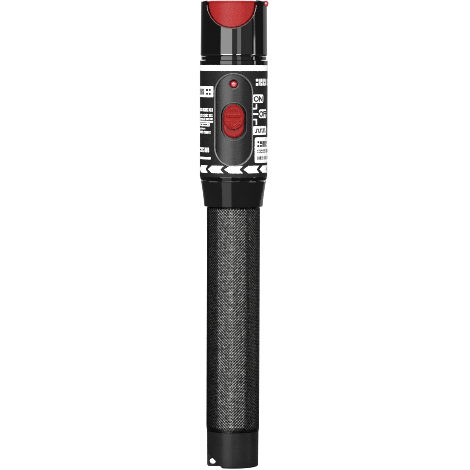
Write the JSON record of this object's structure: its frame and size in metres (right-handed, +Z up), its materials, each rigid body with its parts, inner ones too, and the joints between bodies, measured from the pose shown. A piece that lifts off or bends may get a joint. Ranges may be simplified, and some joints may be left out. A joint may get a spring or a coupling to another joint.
{
  "type": "visual fault locator",
  "caption": "Pen-shaped red-light fibre tester with a knurled battery grip, slide switch, indicator and flip dust cap over a ferrule port.",
  "frame": {"origin": "centre of the flat tail face that the pen stands on", "axes": "+Z up the pen's axis towards the fibre port, -Y out of the side with the switch, +X towards the flip cap's hinge"},
  "size_m": [0.0262, 0.0264, 0.1795],
  "materials": {
    "black_gloss_plastic": "moulded gloss black",
    "label_film": "printed matt film, white on black",
    "black_collar": "black anodised, gloss",
    "black_anodised": "black anodised, diamond knurl on the grip",
    "rubber_black": "matt",
    "rubber_grey": "matt",
    "spring_steel": "bright",
    "battery_wrap": "printed film over a plated can",
    "red_plastic": "moulded satin gloss red",
    "red_switch_plastic": "moulded satin red",
    "red_plastic_dark": "moulded satin red",
    "steel": "bright",
    "nickel": "nickel plated, turned",
    "zirconia": "white ceramic",
    "brass": "turned",
    "gold_can": "gold plated",
    "lens_glass": "clear",
    "board_green": "solder mask",
    "switch_can": "tin plated",
    "black_satin_plastic": "satin",
    "led_red": "tinted clear epoxy",
    "capacitor_sleeve": "sleeved can",
    "chip_ceramic": "ceramic with tinned ends",
    "wire_red": "insulation",
    "wire_black": "insulation"
  },
  "bodies": {
    "grip": {"grip_tube": "black_anodised", "o_ring": "rubber_black", "tail_spring": "spring_steel"},
    "cells": {"battery_rear": "battery_wrap", "battery_front": "battery_wrap"},
    "head": {"nose_cover": "black_gloss_plastic", "head_housing": "black_gloss_plastic", "label_sleeve": "label_film", "threaded_collar": "black_collar", "hinge_pin": "steel", "adapter_base": "nickel", "ferrule_adapter": "nickel", "ceramic_sleeve": "zirconia", "adapter_screws": "steel", "laser_housing": "brass", "laser_diode": "gold_can", "focusing_lens": "lens_glass", "lens_ring": "brass", "circuit_board": "board_green", "slide_switch": "switch_can", "switch_bezel": "red_plastic_dark", "indicator_led": "led_red", "driver_chip": "black_satin_plastic", "capacitor": "capacitor_sleeve", "resistors": "chip_ceramic", "contact_carrier": "black_satin_plastic", "positive_contact": "nickel", "battery_lead": "wire_red", "ground_lead": "wire_black", "laser_leads": "wire_red"},
    "flip_cap": {"dust_cap": "red_plastic", "cap_seal": "rubber_grey"},
    "switch_slider": {"switch_knob": "red_switch_plastic", "switch_lever": "black_satin_plastic"}
  },
  "joints": [
    {"name": "head_rise", "type": "slide", "parent": "grip", "child": "cells", "axis": [0, 0, 1], "range_m": [0, 0.005], "deforming": ["tail_spring"]},
    {"name": "head_turn", "type": "hinge", "parent": "cells", "child": "head", "pos_m": [0, 0, 0.1], "axis": [0, 0, 1], "range_deg": [0, 1800]},
    {"name": "cap_flip", "type": "hinge", "parent": "head", "child": "flip_cap", "pos_m": [0.01215, 0, 0.1783], "axis": [0, 1, 0], "range_deg": [0, 180]},
    {"name": "switch_slide", "type": "slide", "parent": "head", "child": "switch_slider", "axis": [0, 0, 1], "range_m": [-0.004, 0]}
  ],
  "couplings": [
    {"joint": "head_turn", "follows": "head_rise", "rad_per_m": 6283.2}
  ]
}
